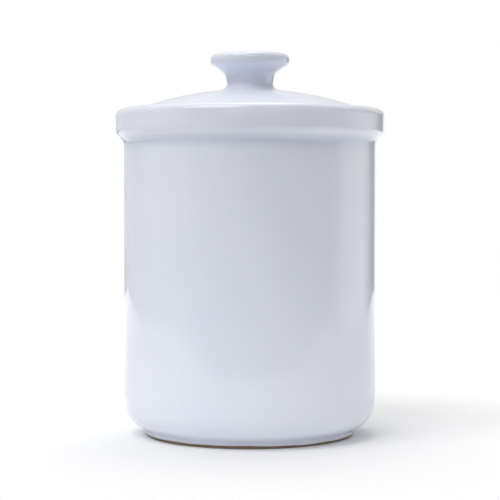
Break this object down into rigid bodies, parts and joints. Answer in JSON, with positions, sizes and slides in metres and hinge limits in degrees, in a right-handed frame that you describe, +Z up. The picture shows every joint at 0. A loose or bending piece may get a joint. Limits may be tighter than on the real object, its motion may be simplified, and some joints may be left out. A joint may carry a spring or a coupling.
{
  "type": "apothecary jar",
  "caption": "Cylindrical glazed stoneware storage jar with a collared mouth, an inset domed lid with a round knob, and a silicone seal ring round the lid's spigot.",
  "frame": {"origin": "on the table at the centre of the foot ring", "axes": "+Z up along the axis of revolution, from the foot ring to the knob; the jar is round, so +X and +Y are free"},
  "size_m": [0.16, 0.16, 0.2278],
  "materials": {
    "glazed_stoneware": "gloss",
    "silicone": "translucent satin"
  },
  "bodies": {
    "jar": {"jar_body": "glazed_stoneware"},
    "seal": {"seal_ring": "silicone"},
    "lid": {"lid": "glazed_stoneware", "lid_knob": "glazed_stoneware"}
  },
  "joints": [
    {"name": "lid_lift", "type": "slide", "parent": "jar", "child": "seal", "axis": [0, 0, 1], "range_m": [0, 0.08]},
    {"name": "lid_turn", "type": "hinge", "parent": "seal", "child": "lid", "pos_m": [0, 0, 0.1805], "axis": [0, 0, 1], "continuous": true}
  ]
}
